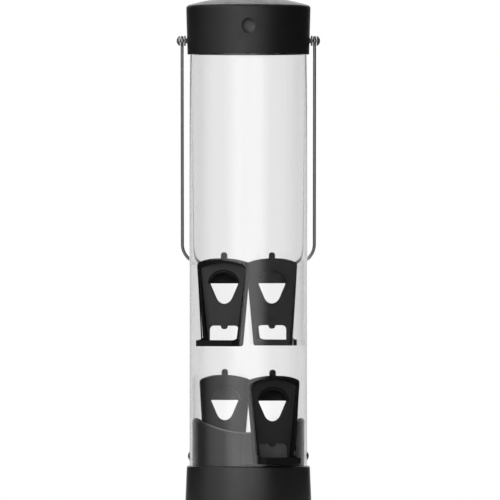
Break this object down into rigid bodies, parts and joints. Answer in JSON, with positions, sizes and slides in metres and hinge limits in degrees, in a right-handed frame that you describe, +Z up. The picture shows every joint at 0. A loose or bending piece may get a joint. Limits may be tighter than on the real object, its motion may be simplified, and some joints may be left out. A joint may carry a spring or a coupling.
{
  "type": "tube bird feeder",
  "caption": "Clear tube bird feeder with lift-off cap, swinging wire bail, hooded feeding ports in two staggered tiers, push-button base and pole socket.",
  "frame": {"origin": "centre of the base's underside, on the tube's axis", "axes": "+Z up along the tube, -Y towards the front that the picture shows, +X to the viewer's right"},
  "size_m": [0.1392, 0.132, 0.4974],
  "materials": {
    "clear_plastic": "clear and polished",
    "black_plastic": "moulded black with a low sheen",
    "port_plastic": "moulded dark grey with a low sheen",
    "button_plastic": "moulded black with a low sheen",
    "steel_wire": "drawn and plated",
    "pin_steel": "plated",
    "spacer_plastic": "moulded grey",
    "spring_steel": "plain spring strip",
    "screw_steel": "zinc plated"
  },
  "bodies": {
    "feeder": {"tube": "clear_plastic", "left_pivot_pin": "pin_steel", "right_pivot_pin": "pin_steel", "left_pivot_spacer": "spacer_plastic", "right_pivot_spacer": "spacer_plastic", "left_pivot_nut": "pin_steel", "right_pivot_nut": "pin_steel", "seed_deflector": "black_plastic", "base_collar": "black_plastic", "left_latch_spring": "spring_steel", "right_latch_spring": "spring_steel", "left_latch_retainer": "black_plastic", "right_latch_retainer": "black_plastic", "base_screws": "screw_steel", "upper_front_port": "port_plastic", "upper_rear_port": "port_plastic", "lower_front_port": "port_plastic", "lower_rear_port": "port_plastic"},
    "cap": {"cap": "black_plastic"},
    "bail": {"bail": "steel_wire"},
    "left_latch_button": {"left_latch_button": "button_plastic"},
    "right_latch_button": {"right_latch_button": "button_plastic"}
  },
  "joints": [
    {"name": "cap_lift", "type": "slide", "parent": "feeder", "child": "cap", "axis": [0, 0, 1], "range_m": [0, 0.15]},
    {"name": "bail_swing", "type": "hinge", "parent": "feeder", "child": "bail", "pos_m": [0, 0, 0.4545], "axis": [1, 0, 0], "range_deg": [0, 329]},
    {"name": "left_latch_press", "type": "slide", "parent": "feeder", "child": "left_latch_button", "axis": [1, 0, 0], "range_m": [0, 0.004], "stiffness_N_per_m": 300, "springref_m": -0.004, "deforming": ["left_latch_spring"]},
    {"name": "right_latch_press", "type": "slide", "parent": "feeder", "child": "right_latch_button", "axis": [-1, 0, 0], "range_m": [0, 0.004], "stiffness_N_per_m": 300, "springref_m": -0.004, "deforming": ["right_latch_spring"]}
  ]
}
